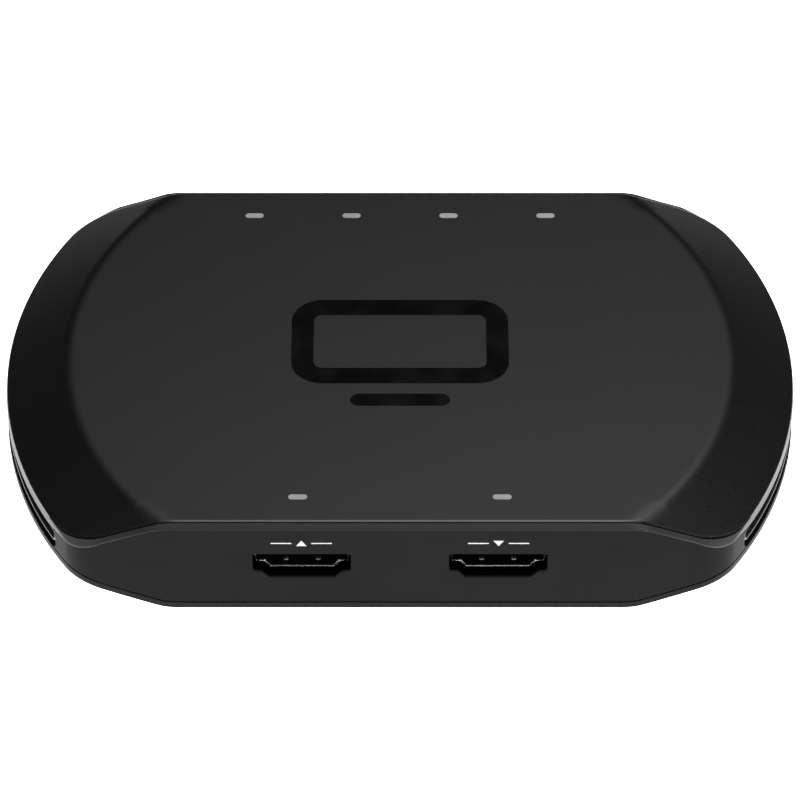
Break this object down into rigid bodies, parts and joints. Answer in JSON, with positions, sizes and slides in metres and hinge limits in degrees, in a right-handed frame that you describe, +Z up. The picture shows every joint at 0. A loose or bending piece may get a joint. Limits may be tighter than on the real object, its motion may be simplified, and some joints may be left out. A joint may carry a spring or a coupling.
{
  "type": "video capture box",
  "caption": "Low disc-shaped video capture box, cut flat at front and rear, with dished top and underside, end vents, video sockets in front and power, data and sound sockets behind.",
  "frame": {"origin": "middle of the footprint, on the plane that the four feet stand on", "axes": "+X along the front wall to the right as seen from the front, +Y from the front wall to the rear wall, +Z up"},
  "size_m": [0.127, 0.079, 0.0188],
  "materials": {
    "cover_plastic": "satin black with a fine brushed grain",
    "frame_plastic": "satin black",
    "base_plastic": "matte black",
    "louvre_plastic": "satin dark grey",
    "light_guide": "milky, smooth",
    "lamp": "milky, smooth",
    "board": "black lacquer",
    "socket_metal": "tinned sheet metal",
    "socket_plastic": "matte black",
    "contact_gold": "gold plated",
    "chip_plastic": "matte black",
    "pad_rubber": "soft grey pad",
    "sink_aluminium": "anodised",
    "pin_plastic": "ivory, smooth",
    "coil_ferrite": "grey ferrite",
    "capacitor_can": "bright can",
    "screw_steel": "zinc plated",
    "foot_rubber": "matte black"
  },
  "bodies": {
    "root": {"top_cover": "cover_plastic", "mid_frame": "frame_plastic", "base_cover": "base_plastic", "left_louvre": "louvre_plastic", "right_louvre": "louvre_plastic", "rear_light_guide": "light_guide", "front_light_guide": "light_guide", "lamps": "lamp", "main_board": "board", "video_out_shell": "socket_metal", "video_out_insulator": "socket_plastic", "video_out_contacts": "contact_gold", "video_in_shell": "socket_metal", "video_in_insulator": "socket_plastic", "video_in_contacts": "contact_gold", "data_shell": "socket_metal", "data_insulator": "socket_plastic", "line_jack": "socket_plastic", "headset_jack": "socket_plastic", "power_jack": "socket_plastic", "power_pin": "socket_metal", "processor": "chip_plastic", "thermal_pad": "pad_rubber", "heat_sink": "sink_aluminium", "heat_sink_pins": "pin_plastic", "memory_chips": "chip_plastic", "power_coil": "coil_ferrite", "capacitors": "capacitor_can", "board_screws": "screw_steel", "case_screws": "screw_steel", "front_left_foot": "foot_rubber", "front_right_foot": "foot_rubber", "rear_left_foot": "foot_rubber", "rear_right_foot": "foot_rubber"}
  },
  "joints": []
}
